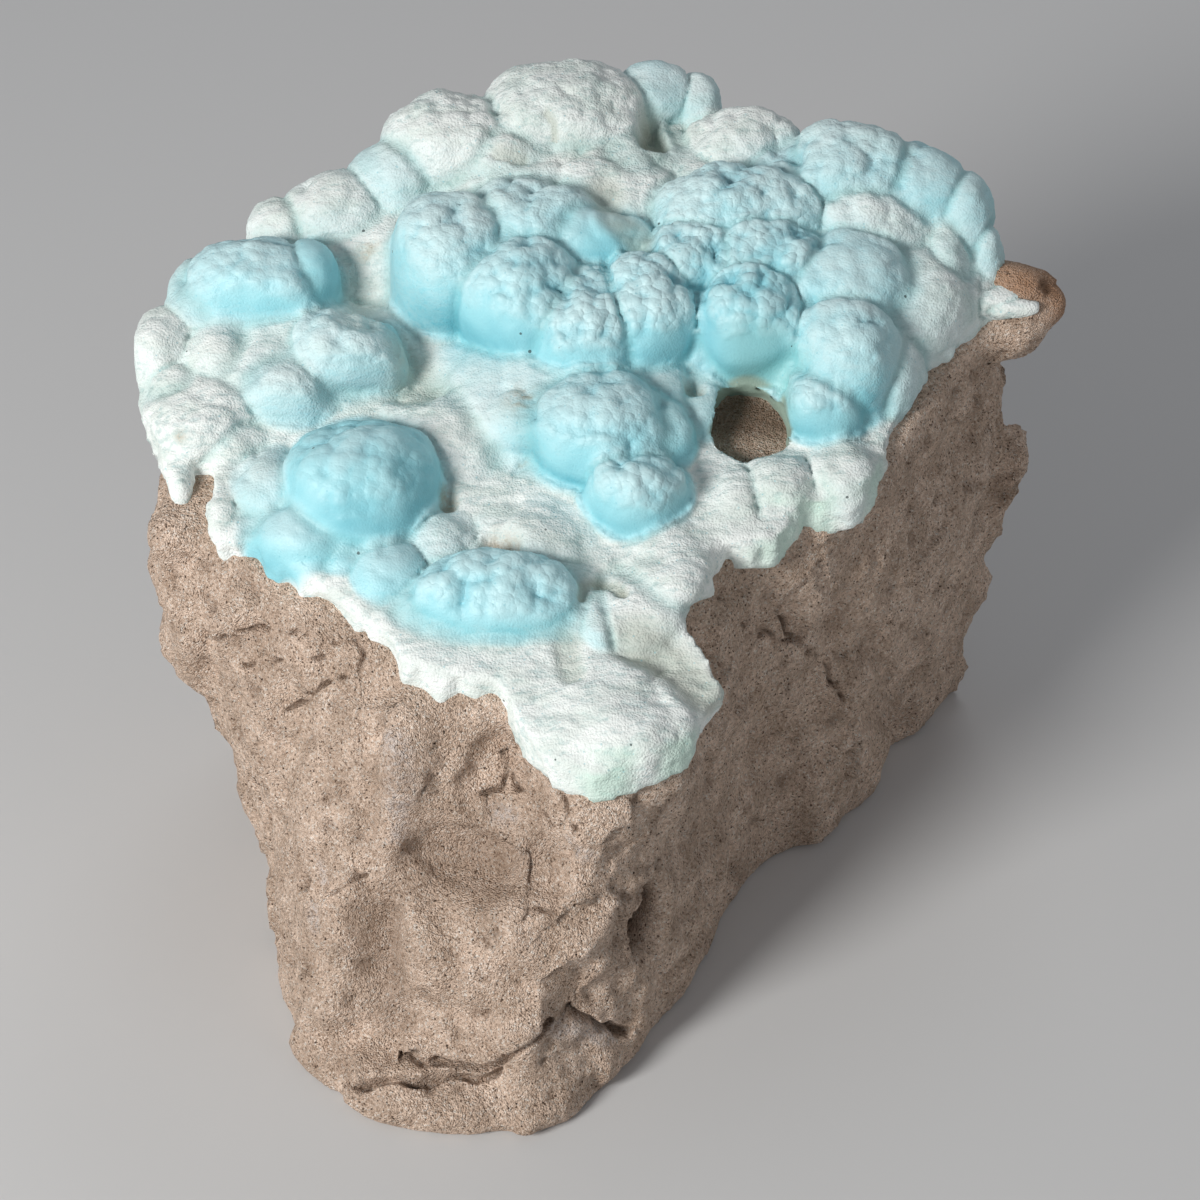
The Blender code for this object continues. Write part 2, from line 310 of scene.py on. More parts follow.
# %% Rock lines from the photograph
CRACK_PIXELS = [
    [(225, 637), (262, 632), (300, 630), (322, 641)],
    [(240, 665), (280, 660), (325, 658)],
    [(285, 712), (305, 692), (330, 680)],
    [(336, 640), (356, 640), (360, 660), (352, 680), (340, 676)],
    [(501, 750), (507, 762), (503, 786), (483, 794)],
    [(511, 773), (520, 787), (532, 794)],
    [(535, 807), (546, 819), (549, 829)],
    [(546, 777), (559, 787), (567, 803), (573, 829)],
    [(694, 545), (687, 557), (680, 578), (684, 598), (688, 613), (696, 633)],
    [(780, 620), (800, 640), (820, 665), (840, 700)],
    [(336, 889), (352, 881), (366, 877)],
    [(527, 910), (545, 911), (556, 911)],
    [(660, 570), (690, 600), (700, 640)],
    [(720, 600), (750, 640), (800, 640)],
]
LEDGE_PIXELS = [
    [(345, 1084), (361, 1086), (380, 1082), (423, 1080), (450, 1077), (478, 1080),
     (497, 1073)],
    [(401, 1058), (411, 1055), (425, 1062), (458, 1065), (480, 1064), (500, 1067)],
    [(500, 1064), (517, 1050), (542, 1031), (552, 1018)],
    [(567, 1015), (583, 1023), (602, 1025), (628, 1033)],
]
SLOT_PIXELS = [(650, 895), (642, 912), (634, 930), (628, 942)]
FORM_STROKES = [
    ([(402, 720), (404, 790)], 5, 1.8),
    ([(354, 890), (340, 950), (335, 1010)], 5, 1.6),
    ([(430, 864), (470, 860), (515, 862)], 9, -3),
    ([(440, 940), (480, 950), (520, 945)], 9.5, 2.6),
    ([(450, 1005), (495, 1015)], 6.5, 1.6),
    ([(604, 915), (565, 955), (540, 1000), (524, 1035)], 3.8, 2.2),
    ([(572, 985), (584, 1012)], 5, -2.4),
    ([(622, 950), (640, 985), (640, 1020)], 4, 1.4),
    ([(352, 1036), (384, 1044)], 3.6, -1.8),
    ([(365, 1074), (420, 1071), (460, 1069), (490, 1066)], 1.5, 0.8),
    ([(412, 1044), (440, 1050), (475, 1051), (494, 1054)], 1.5, 0.9),
    ([(316, 1040), (322, 1046)], 2.6, -1.2),
    ([(378, 915), (382, 960), (384, 1010)], 5.5, -2.6),
    ([(690, 600), (705, 650), (700, 690)], 5, -1.6),
    ([(800, 560), (820, 640), (860, 700)], 6, 1.2),
    ([(700, 800), (760, 740), (800, 720)], 7, -1.2),
    ([(240, 780), (262, 860), (280, 940)], 5, 0.8),
    ([(1006, 284), (1028, 288), (1044, 298)], 6, 2.6),
]


def cast_line(tree, pixels):
    hits = [photo_point(tree, column, row) for column, row in pixels]
    return [hit for hit in hits if hit is not None]


blank_tree = tree_of(rock)
cracks = [cast_line(blank_tree, pixels) for pixels in CRACK_PIXELS]
ledges = [cast_line(blank_tree, pixels) for pixels in LEDGE_PIXELS]
slot = cast_line(blank_tree, SLOT_PIXELS)
strokes = [(cast_line(blank_tree, pixels), *rest) for pixels, *rest in FORM_STROKES]
print("cracks:", len(cracks), "ledges:", len(ledges), "broad forms:", len(strokes))

# %% [markdown]
# The cracks are thinner than the faces of the blank. So the faces along them are split
# twice, the second time only those nearest to a line.

# %% Finer faces along the cracks
SPLIT_WITHIN = (1.6, 0.9)

for reach in SPLIT_WITHIN:
    rock_bm = bmesh.new()
    rock_bm.from_mesh(rock.data)
    rock_points = points_of(rock)
    distances = [distance_to_line(rock_points, line) for line in [*cracks, *ledges, slot]]
    inside = np.min(distances, axis=0) < reach
    near_line = [edge for edge in rock_bm.edges
                 if inside[edge.verts[0].index] and inside[edge.verts[1].index]]
    bmesh.ops.subdivide_edges(rock_bm, edges=near_line, cuts=1, use_grid_fill=True)
    rock_bm.to_mesh(rock.data)
    rock_bm.free()
print("rock points with the finer faces:", len(rock.data.vertices))

# %% [markdown]
# Broken sandstone shows flat breaks, shallow scallops and crumbs, each smaller than
# the last. They are added as moves along the normal: tilted facets of 9 and 4 mm, a
# cloudy unevenness, crumbs, and small pits where grains fell out. The bed under the
# crust and the flat underside keep still.

# %% Rock relief
KNOB_FROM = 50.0
BASE_TOP = 0.15
WOBBLE_SIZE = 4.0
WOBBLE_REACH = 0.7
FACET_SIZES = (9.0, 4.2)
FACET_SHARES = (0.20, 0.26)
CLOUD_SIZE = 7.0
CLOUD_HEIGHT = 0.55
PIT_SIZE = 3.4
PIT_FROM = 0.62
PIT_DEPTH = 0.75
CRUMB_SIZE = 1.9
CRUMB_HEIGHT = 0.34
MOST_IN = -2.2
MOST_OUT = 1.2

spots = points_of(rock)
outward = read_vectors(rock, "normal")
under_bed = bed(spots[:, 0] + PLAN_MIDDLE[0], spots[:, 1] + PLAN_MIDDLE[1]) - spots[:, 2]
on_knob = smoothstep(KNOB_FROM, KNOB_FROM + 3, spots[:, 0])
bare = np.maximum(smoothstep(0.0, 4.0, under_bed), on_knob)
bare *= smoothstep(0.2, 2.0, spots[:, 2])
wobbly = wobble(spots, WOBBLE_SIZE, WOBBLE_REACH, (0.0, 5.2, 9.7))

push = sum(share * facets(wobbly, size) for share, size in zip(FACET_SHARES, FACET_SIZES))
push += CLOUD_HEIGHT * waves(spots, CLOUD_SIZE, 3, 3.1)
pit_cells = cells(wobbly, PIT_SIZE)
pits = (pit_cells[:, 1] > PIT_FROM) * smoothstep(0.42, 0.1, pit_cells[:, 0])
push -= PIT_DEPTH * pits
push += CRUMB_HEIGHT * (0.5 - cells(wobbly, CRUMB_SIZE)[:, 0])
push = np.clip(push, MOST_IN, MOST_OUT) * bare
print("fine relief from", push.min().round(2), "to", push.max().round(2), "mm")

# %% [markdown]
# Then come the forms that were traced: the ridges and hollows, the cracks, the ledges
# and the slot. The flat underside stays flat, and nothing leaves the CAD box.

# %% Rock cracks and forms
CRACK_DEPTH = 0.9
CRACK_HALF_WIDTH = 0.55
LEDGE_DEPTH = 2.2
LEDGE_HALF_WIDTH = 0.85
SLOT_DEPTH = 2.6
SLOT_HALF_WIDTH = 2.0
DEEP_FORM = -2.0

hollow = np.zeros(len(spots))
for line, reach, height in strokes:
    near = near_lines(wobbly, [line], reach)
    push += height * near * (spots[:, 2] > BASE_TOP)
    hollow = np.maximum(hollow, near * (height < DEEP_FORM))
crack_mask = near_lines(wobbly, cracks, CRACK_HALF_WIDTH)
ledge_mask = near_lines(wobbly, ledges, LEDGE_HALF_WIDTH)
slot_mask = near_lines(wobbly, [slot], SLOT_HALF_WIDTH, 0.2)
push -= CRACK_DEPTH * crack_mask + LEDGE_DEPTH * ledge_mask + SLOT_DEPTH * slot_mask

moved = spots + outward * push[:, None]
moved[:, 2] = np.where(spots[:, 2] < BASE_TOP, 0.0, moved[:, 2])
set_points(rock, np.clip(moved, cad_low, cad_high))
print("rock relief from", push.min().round(2), "to", push.max().round(2), "mm")

# %% [markdown]
# Three colour marks are laid on the rock: whitish calcite skins on some ridges, an
# orange-brown iron stain on the knob at the right, and a dark brown. The dark brown
# darkens the cracks, and it is painted shade in the undercuts of the ledges, in the
# slot, in the pits and on the floor of the well, darkest at the well's back. In the
# deepest hollow it is brown stain and painted shade together. Each mark is a mask on
# the mesh that the material mixes in.

# %% Rock marks
CALCITE_PIXELS = [
    ([(402, 740), (405, 790), (398, 835)], 1.9),
    ([(495, 808), (508, 812)], 1.6),
    ([(568, 842), (588, 860)], 1.6),
    ([(285, 1005), (300, 1030)], 2.4),
    ([(560, 1030), (610, 1035)], 2.2),
    ([(318, 865), (322, 880)], 1.2),
    ([(312, 905), (316, 925)], 1.2),
]
KNOB_PIXELS = [(1012, 286), (1035, 287), (1052, 300)]
STAIN_REACH = 5.0
STAIN_FULL = 1.5
# Painted shade in the undercuts of the ledges and in the pits.
LEDGE_SHADE = 0.7
PIT_SHADE = 0.5
# Brown stain and painted shade in the deepest hollow.
HOLLOW_DUST_AND_SHADE = 0.5
WELL_FLOOR_REACH = 7.0
WELL_FLOOR_FULL = 5.0

calcite = np.zeros(len(spots))
for pixels, reach in CALCITE_PIXELS:
    line = cast_line(blank_tree, pixels)
    calcite = np.maximum(calcite, near_lines(wobbly, [line], reach, 0.2 * reach))
stain = near_lines(wobbly, [cast_line(blank_tree, KNOB_PIXELS)], STAIN_REACH, STAIN_FULL)
across_well = spots[:, :2] - np.array(on_bed(*WELL_PLACE))[:2]
well_distance = np.linalg.norm(across_well, axis=1)
# Painted shade on the floor of the well, darkest towards its back.
well_floor = smoothstep(WELL_FLOOR_REACH, WELL_FLOOR_FULL, well_distance) * (under_bed < 3)
well_floor_shade = well_floor * (0.35 + 0.65 * smoothstep(-1.5, 1.5, across_well[:, 1]))
# Dark brown in the cracks; painted shade in the ledges' undercuts, the slot, the pits and the
# well floor; brown stain with painted shade in the deepest hollow.
dust_and_shade = np.max([crack_mask, LEDGE_SHADE * ledge_mask, slot_mask, PIT_SHADE * pits * bare,
               HOLLOW_DUST_AND_SHADE * hollow, well_floor_shade], axis=0)
set_mask(rock, "calcite", calcite)
set_mask(rock, "iron_stain", stain)
set_mask(rock, "recess_dust_and_shade", dust_and_shade)
print("stained points:", int((stain > 0.5).sum()), "darkened points:", int((dust_and_shade > 0.5).sum()))

# %% [markdown]
# The crust grew from many points at once. Each point made a rounded lump, and lumps
# that met kept a sharp crease between them. So the crust is built the same way: one
# ball for each lump, a thin sheet that joins them, and a voxel remesh that melts the
# balls into one skin and keeps the creases.
#
# A lump's place is the pixel of its middle in the photograph, and its height over the
# bed in mm. Then come its half sizes in mm along X, Y and Z, how blue it is and how
# knobbly its cap is. The swellings are broad, low lumps that carry groups of others.

# %% The lumps of the crust
LUMPS = [
    # Front, from the left to the right
    ((362, 487), 3, (9.9, 9.5, 8.2), 0.95, 0.35),
    ((310, 537), 0.5, (7.2, 6.5, 5.5), 0.75, 0.05),
    ((272, 492), 0.5, (5, 6, 5), 0.4, 0.1),
    ((347, 562), 0, (5, 4, 4), 0.7, 0),
    ((392, 574), 1, (4.9, 4.9, 4.2), 0.75, 0),
    ((498, 604), 1.8, (10.6, 6.2, 6), 0.85, 0.6),
    ((428, 614), 0, (4.5, 4, 4), 0.6, 0),
    ((440, 545), 1, (4.6, 4.6, 3.6), 0.2, 0),
    ((535, 535), 0, (8, 7, 3.5), 0.12, 0),
    ((635, 498), 3, (6.4, 6, 5.4), 0.85, 0.8),
    ((615, 700), -0.5, (11.5, 10.5, 4), 0, 0),
    ((641, 598), 0, (7, 9, 4), 0.1, 0),
    ((601, 614), 0.5, (3.6, 6.2, 3.2), 0.45, 0),
    ((455, 425), 0.5, (9.5, 8.5, 4.5), 0, 0),
    ((735, 500), 0.5, (4.2, 5, 3.6), 0.05, 0),
    ((775, 492), 0.5, (4.6, 5, 4), 0.05, 0),
    ((842, 478), 0.5, (4.8, 5, 4), 0.1, 0),
    # Middle
    ((600, 428), 4, (10.2, 9, 7), 0.7, 0.6),
    ((655, 440), 2.5, (5, 6, 6), 0.7, 0.1),
    ((520, 305), 6, (8.6, 9, 9.5), 0.85, 0.7),
    ((588, 332), 6, (8.5, 8.5, 7.5), 0.8, 1),
    ((645, 320), 6.5, (7.2, 8, 8.2), 0.8, 1),
    ((582, 240), 10, (8, 4.5, 4.5), 1, 0.1),
    ((500, 258), 8.5, (5.5, 5, 5.5), 1, 0.1),
    ((452, 268), 6, (8.7, 9, 10), 0.55, 0.6),
    ((535, 232), 8, (11, 8, 7), 0.5, 0.7),
    # Right of the middle, round the well
    ((748, 325), 6.5, (7.6, 7.5, 7.6), 1, 0.9),
    ((697, 264), 8.5, (8, 6, 5.5), 0.75, 1),
    ((765, 262), 9, (8, 6, 5.5), 0.85, 1),
    ((735, 215), 9, (12, 7, 6.5), 0.6, 0.8),
    ((848, 288), 6.5, (9, 8, 7), 0.65, 0.35),
    ((844, 366), 3.5, (7.8, 8.6, 10), 0.55, 0.5),
    ((824, 404), 3, (6, 6.2, 5.8), 0.85, 0.8),
    ((893, 368), 1.5, (4, 8, 5.5), 0.25, 0.1),
    ((700, 410), 1, (4, 6, 4.5), 0.45, 0),
    # Back right
    ((850, 178), 8.5, (9.6, 7.5, 7), 0.5, 0.6),
    ((790, 185), 7.5, (6.5, 6, 5.5), 0.5, 0.6),
    ((915, 192), 7.5, (7, 7, 6.5), 0.65, 0.2),
    ((960, 222), 5, (4.6, 7, 7), 0.5, 0.05),
    ((982, 262), 2.5, (2.8, 5, 6), 0.4, 0),
    ((868, 235), 5.5, (9, 8, 7), 0.2, 0.45),
    ((945, 270), 3, (3.8, 6, 7), 0.25, 0),
    ((905, 290), 2.5, (5.5, 6, 6), 0.15, 0.1),
    # Back, up to the top
    ((565, 122), 8.5, (11.5, 9, 7.5), 0.08, 0.5),
    ((455, 150), 7.5, (10, 8, 7), 0.08, 0.5),
    ((512, 162), 7, (9, 8, 6), 0.03, 0.45),
    ((625, 168), 6.5, (8, 8, 5.5), 0, 0.4),
    ((652, 97), 8, (4.8, 5, 4.6), 0.45, 0),
    ((697, 104), 7, (3.6, 4, 4), 0.35, 0),
    ((740, 152), 7, (8, 6, 5.5), 0.1, 0.4),
    ((690, 185), 6, (6, 6, 5), 0, 0.25),
    ((540, 135), 2, (9, 5, 7), 0.3, 0.1),
    ((645, 123), 2, (9, 4.5, 6), 0.3, 0.1),
    # Left
    ((335, 215), 4.5, (7.5, 6, 5.5), 0.15, 0.2),
    ((285, 232), 3, (5.5, 5, 5), 0.1, 0.1),
    ((398, 182), 6, (6.5, 6, 6), 0.35, 0.1),
    ((258, 292), 5, (9.6, 6.5, 6.6), 0.65, 0.5),
    ((311, 280), 5.5, (3.8, 5, 5.6), 1, 0),
    ((345, 355), 4.5, (7.8, 6, 6), 0.45, 0.6),
    ((290, 392), 2.5, (6.5, 6, 5), 0.4, 0.5),
    ((215, 300), 3, (5.5, 6, 5), 0.3, 0.3),
    ((163, 352), 1, (4, 6, 5.5), 0.08, 0.1),
    ((183, 398), 0.5, (4.5, 5, 4.5), 0, 0.1),
    ((200, 440), 0, (4, 4, 3.5), 0, 0.1),
    ((237, 452), 0, (4.5, 4.5, 4), 0.05, 0),
    ((228, 362), 1.5, (6, 6, 5), 0.1, 0.1),
    ((222, 524), 0, (2.6, 3, 3), 0, 0),
    # The thin end that hangs beside the knob of rock
    ((985, 298), 0.5, (3, 3.5, 3), 0.1, 0),
    ((1000, 284), 2.6, (1.9, 2, 2.8), 0.1, 0),
    ((978, 296), 2.2, (3, 2.8, 3), 0.05, 0),
    ((998, 301), 3.2, (4.4, 2, 2.1), 0.05, 0),
    ((1016, 307), 3.5, (3.8, 1.6, 1.4), 0, 0),
]
SWELLINGS = [
    ((577, 383), 0, (18, 16, 6.5), 0.4, 0.1),
    ((754, 317), 0, (19, 14, 9), 0.6, 0.3),
    ((875, 291), 0, (14, 15, 9), 0.15, 0.1),
    ((577, 216), 0, (24, 15, 12), 0, 0.25),
    ((395, 253), 0, (14, 9, 7), 0, 0),
    ((298, 343), 0, (15, 13, 5.5), 0.2, 0.1),
    ((209, 396), 0, (8, 12, 4.5), 0, 0),
    ((344, 506), 0, (13, 10, 4.5), 0.3, 0),
    ((503, 591), 0, (15, 9, 4), 0.1, 0),
    ((665, 562), 0, (7, 10, 4), 0.05, 0),
]
print("lumps:", len(LUMPS), "swellings under them:", len(SWELLINGS))

# %% [markdown]
# The sheet under the lumps has the outline of the crust in plan. It starts as one face
# through that outline and is extruded down into the rock. Its rim is pulled in and out
# later, because a real crust ends in small drips.

# %% The sheet
CRUST_EDGE = [
    (0, -38.5), (6, -36.5), (11, -33.5), (12, -30), (14.5, -26.5), (12, -21),
    (9.5, -17), (10.5, -10), (14, -7), (17.5, -7.5), (22, -7), (25, -2),
    (29, -1.5), (34, 0), (37, 8.5), (41, 18), (46, 23), (51, 27),
    (52, 33), (50, 41), (45, 47), (34, 52), (24, 54), (14, 59), (2, 62),
    (-10, 60), (-20, 55), (-32, 47), (-40, 41), (-48, 34), (-55, 28), (-59, 20),
    (-58, 12), (-55, 4), (-52.5, 0), (-51, 5), (-47.5, 4.5), (-49, -2), (-47.5, -6.5),
    (-43, -7), (-39, -11), (-33, -14), (-26, -19.5), (-23, -23.5), (-18, -25),
    (-12, -26), (-9.5, -31.5), (-5, -36.5),
]
SHEET_TOP = 2.4
SHEET_BELOW = 2.6
BALL_SUBDIVISIONS = 4


def add_sheet(bm):
    """One face through the edge, extruded down into the rock."""
    corners = [bm.verts.new(on_bed(x, y, SHEET_TOP)) for x, y in CRUST_EDGE]
    top = bm.faces.new(corners)
    spread = bmesh.ops.extrude_face_region(bm, geom=[top], use_keep_orig=True)
    sunk = [part for part in spread["geom"] if isinstance(part, bmesh.types.BMVert)]
    down = Vector((0, 0, -SHEET_TOP - SHEET_BELOW))
    bmesh.ops.translate(bm, verts=sunk, vec=down)
    bmesh.ops.triangulate(bm, faces=bm.faces[:])
    bmesh.ops.recalc_face_normals(bm, faces=bm.faces[:])


def add_ball(bm, middle, half_size):
    fit = Matrix.Translation(middle) @ Matrix.Diagonal((*half_size, 1))
    bmesh.ops.create_icosphere(bm, subdivisions=BALL_SUBDIVISIONS, radius=1.0, matrix=fit)


crust_bm = bmesh.new()
add_sheet(crust_bm)
for pixel, height, half_size, *colouring in SWELLINGS + LUMPS:
    add_ball(crust_bm, over_pixel(*pixel, height), half_size)
print("crust shells:", 1 + len(SWELLINGS) + len(LUMPS))

# %% [markdown]
# True balls would look made. A slow noise, the same for all shells, moves every point
# by up to a millimetre, so that the lumps bulge and lean. Then the voxel remesh turns
# the overlapping shells into one closed skin. Where two balls meet, their crease stays.

# %% One skin
WARP_SIZE = 9.0
WARP_REACH = 1.1
WARP_SHIFTS = [Vector((0, 0, 0)), Vector((17.3, 0, 0)), Vector((0, 23.9, 0))]
CRUST_VOXEL = 0.9


def warp(place):
    slow = place / WARP_SIZE
    return WARP_REACH * Vector([noise.noise(slow + shift) for shift in WARP_SHIFTS])


for point in crust_bm.verts:
    point.co = (point.co + warp(point.co)) * MM
crust = object_of("blue_crust", crust_bm)
remesh(crust, CRUST_VOXEL)
smooth(crust, 0.5, 1)
print("crust points:", len(crust.data.vertices))

# %% [markdown]
# A round well goes through the crust right down to the rock, left of the tall lump at
# the right. A Boolean cuts it out. The cutter is a ball, so that the well has an arch
# where it runs under the lump behind it. The ball is made a little uneven first, so that
# the wall looks grown and not drilled.

# %% The well in the crust
WELL_UNEVENNESS = 0.16
WELL_NOISE_SIZE = 4.0

well_bm = bmesh.new()
well_middle = on_bed(*WELL_PLACE, WELL_HEIGHT)
add_ball(well_bm, well_middle, WELL_HALF_SIZE)
for point in well_bm.verts:
    out = point.co - well_middle
    point.co += out * WELL_UNEVENNESS * noise.noise(point.co / WELL_NOISE_SIZE)
    point.co *= MM
well = object_of("well_cutter", well_bm)
run_modifier(crust, "BOOLEAN", operation="DIFFERENCE", solver="EXACT", object=well)
bpy.data.objects.remove(well, do_unlink=True)
print("crust points with the well:", len(crust.data.vertices))

# %% [markdown]
# The knobs on the caps are about a millimetre across, finer than the remesh. So only
# the faces that show from above are split once more. The underside, which rests on the
# rock, keeps its large faces.

# %% Finer faces where they show
LOWEST_FACING = -0.35
SHOWS_FROM = -1.0
SOFTENING = 0.35

crust_bm = bmesh.new()
crust_bm.from_mesh(crust.data)
crust_bm.normal_update()


def shows(face):
    middle = face.calc_center_median() / MM
    bed_here = bed(middle.x + PLAN_MIDDLE[0], middle.y + PLAN_MIDDLE[1])
    return face.normal.z > LOWEST_FACING and middle.z > bed_here + SHOWS_FROM


seen = [shows(face) for face in crust_bm.faces]
edges = [edge for edge in crust_bm.edges if any(seen[face.index] for face in edge.link_faces)]
bmesh.ops.subdivide_edges(crust_bm, edges=edges, cuts=1, use_grid_fill=True)
upper = [point for point in crust_bm.verts if point.normal.z > LOWEST_FACING]
bmesh.ops.smooth_vert(
    crust_bm, verts=upper, factor=SOFTENING, use_axis_x=True, use_axis_y=True, use_axis_z=True
)
crust_bm.to_mesh(crust.data)
crust_bm.free()
print("crust triangles:", sum(len(face.vertices) - 2 for face in crust.data.polygons))

# %% [markdown]
# Each point of the skin belongs to the lump it is nearest to, counted in that lump's
# own half sizes. Blending the lumps' blueness and knobbliness by that distance gives
# soft colour borders, and where the two nearest lumps are equally near lies a crease.

# %% Which lump each point belongs to
BLEND_SHARPNESS = 9.0
LUMP_ENDS = 1.25
LUMP_FULL = 1.05
CREASE_WIDTH = 0.16

skin = points_of(crust)
facing = read_vectors(crust, "normal")
grown = LUMPS + SWELLINGS
middles = np.array([over_pixel(*lump[0], lump[1]) for lump in grown])
half_sizes = np.array([lump[2] for lump in grown])
blueness = np.array([lump[3] for lump in grown])
knobbliness = np.array([lump[4] for lump in grown])

unwarped = skin - np.array([warp(Vector(point)) for point in skin])
away = (unwarped[:, None, :] - middles[None]) / half_sizes[None]
away = np.linalg.norm(away, axis=2)
order = np.sort(away, axis=1)
nearest, second = order[:, 0], order[:, 1]
weight = np.exp(-BLEND_SHARPNESS * (away - nearest[:, None]))
weight /= weight.sum(axis=1, keepdims=True)
on_lump = smoothstep(LUMP_ENDS, LUMP_FULL, nearest)
blue = (weight @ blueness) * on_lump
knobbly = (weight @ knobbliness) * on_lump
crease = smoothstep(CREASE_WIDTH, 0.0, second - nearest) * on_lump
print("blue points:", int((blue > 0.5).sum()), "of", len(skin))

# %% [markdown]
# Seen close, each cap is made of smaller round lumps, like a cauliflower. They are
# bubbles in three sizes. Each starts from a point of the skin, and its height is that
# of a ball round its start, so bubbles that meet keep a sharp crease.

# %% Bubbles on the skin
BUBBLE_SIZES = (5.6, 2.4, 1.4)
BUBBLE_REACH = 0.85
BUBBLE_SEED = 11
BEND_SIZE = 3.0
BEND_REACH = 0.25


def bubbles(points, size):
    """Heights of round bubbles, one in each box this wide that holds some skin."""
    shuffled = np.random.default_rng(BUBBLE_SEED).permutation(len(points))
    boxes = np.floor(points[shuffled] / size).astype(int)
    first = np.unique(boxes, axis=0, return_index=True)[1]
    starts = points[shuffled[first]]
    tree = KDTree(len(starts))
    for i, start in enumerate(starts):
        tree.insert(start, i)
    tree.balance()
    gap = np.array([tree.find(point)[2] for point in points])
    return np.sqrt(np.clip(1.0 - (gap / (BUBBLE_REACH * size)) ** 2, 0, 1))


bent = wobble(skin, BEND_SIZE, BEND_REACH, (0.0, 4.4, 8.8))
big, middling, tiny = [bubbles(bent, size) for size in BUBBLE_SIZES]
print("points on a tiny bubble:", int((tiny > 0.5).sum()))

# %% [markdown]
# The bubbles lift the caps, and the steep sides of the lumps stay smooth. The creases
# between lumps are cut a little deeper, a slow unevenness runs over everything, and
# the white floor between the lumps gets a fine felt.

# %% Crust relief
BUBBLE_HEIGHTS = (2.30, 1.45, 0.50)
CREASE_DEPTH = 0.45
SLOW_SIZE = 6.0
SLOW_HEIGHT = 0.25
FELT_SIZE = 1.0
FELT_HEIGHT = 0.26

level = bed(skin[:, 0] + PLAN_MIDDLE[0], skin[:, 1] + PLAN_MIDDLE[1])
over_bed = skin[:, 2] - level
shown = smoothstep(-1.5, 0.0, over_bed)
upward = smoothstep(0.15, 0.70, facing[:, 2])
knob_share = knobbly * upward
slow = waves(skin, SLOW_SIZE, 2, 1.7)
felt = waves(skin * np.array([0.5, 1, 1]), FELT_SIZE, 3, 6.1)

lift = (0.30 + 0.70 * knobbly) * upward * on_lump * BUBBLE_HEIGHTS[0] * (big - 0.75)
lift += (0.12 * upward * on_lump + 0.88 * knob_share) * BUBBLE_HEIGHTS[1] * (middling - 0.7)
lift += knob_share * BUBBLE_HEIGHTS[2] * (tiny - 0.7)
lift -= CREASE_DEPTH * crease
lift += SLOW_HEIGHT * slow
lift += (1 - on_lump * np.clip(blue + knobbly, 0, 1)) * FELT_HEIGHT * felt
moved = skin + facing * (lift * shown)[:, None]
print("crust relief from", lift.min().round(2), "to", lift.max().round(2), "mm")

# %% [markdown]
# A few pits and cracks in the crust show in the photograph. A dent is the line of its
# pixels, its reach and its depth in mm, how rusty its floor is, and how much olive-grey
# it gets, which is partly painted shade.

# %% Dents in the crust
DENTS = [
    ([(496, 541), (506, 541)], 2.5, 2.8, 1, 0),
    ([(444, 492), (448, 500)], 1.9, 1.3, 0.7, 0.3),
    ([(648, 118), (654, 136)], 3, 3.4, 0, 0.9),
    ([(405, 350), (418, 385)], 5.5, 1.5, 0, 0.6),
    ([(365, 285), (360, 315)], 4.5, 1.3, 0, 0.3),
    ([(690, 382), (697, 388)], 1.6, 1.6, 0.3, 0.5),
    ([(567, 640), (573, 675)], 2.2, 0.5, 0, 0.5),
    ([(636, 636), (658, 648), (680, 668), (702, 688)], 4.6, 1.2, 0, 0.7),
    ([(581, 596), (583, 584), (600, 581), (614, 585), (622, 592)], 1.2, 0.7, 0, 0.9),
    ([(548, 112), (554, 120), (556, 136)], 0.9, 0.7, 0, 0.7),
    ([(605, 190), (618, 215), (640, 235)], 3.4, 1, 0, 0.6),
    ([(500, 150), (520, 156)], 1.6, 0.6, 0, 0.5),
]

rusty_dent = np.zeros(len(skin))
olive_shade = np.zeros(len(skin))
skin_tree = tree_of(crust)
for pixels, reach, depth, rusty, olive_shade_share in DENTS:
    near = near_lines(bent, [cast_line(skin_tree, pixels)], reach, 0.3 * reach)
    moved[:, 2] -= depth * near
    rusty_dent = np.maximum(rusty_dent, rusty * near)
    olive_shade = np.maximum(olive_shade, olive_shade_share * near)
print("dents:", len(DENTS), "olive points:", int((olive_shade > 0.4).sum()))

# %% [markdown]
# The rim of the crust is pulled in and out sideways and hangs down in rounded drips.
# The front tongue keeps a smoother edge.

# %% The rim of the crust
DRIP_SIZE = 3.0
DRIP_REACH = 0.9
DRIP_FALL = 1.2
TONGUE_SHARE = 0.25

behind_tongue = smoothstep(-34.0, -30.0, skin[:, 1])
rim = smoothstep(2.8, 1.2, over_bed) * smoothstep(0.80, 0.35, np.abs(facing[:, 2]))
rim *= TONGUE_SHARE + (1 - TONGUE_SHARE) * behind_tongue
drips = waves(skin * np.array([1, 1, 0.3]), DRIP_SIZE, 2, 2.2)
flat_way = facing * np.array([1, 1, 0])
moved += flat_way * (DRIP_REACH * drips * rim)[:, None]
moved[:, 2] -= DRIP_FALL * np.clip(drips, 0, 1) * rim
set_points(crust, np.clip(moved, cad_low, cad_high))
print("rim points:", int((rim > 0.5).sum()))

# %% [markdown]
# The masks for the colours. One says how far the skin faces up, and the material
# paints light and shade with it: pale caps facing up, and the deepest blue, a painted
# shade, low on the steep sides. Greenish glassy aragonite shows at the rim of the front
# tongue and round the well. Rusty dust sits in some dents and in a few creases, found
# by their pixels in the photograph, each with its reach in mm. The green places are
# points of the plan.

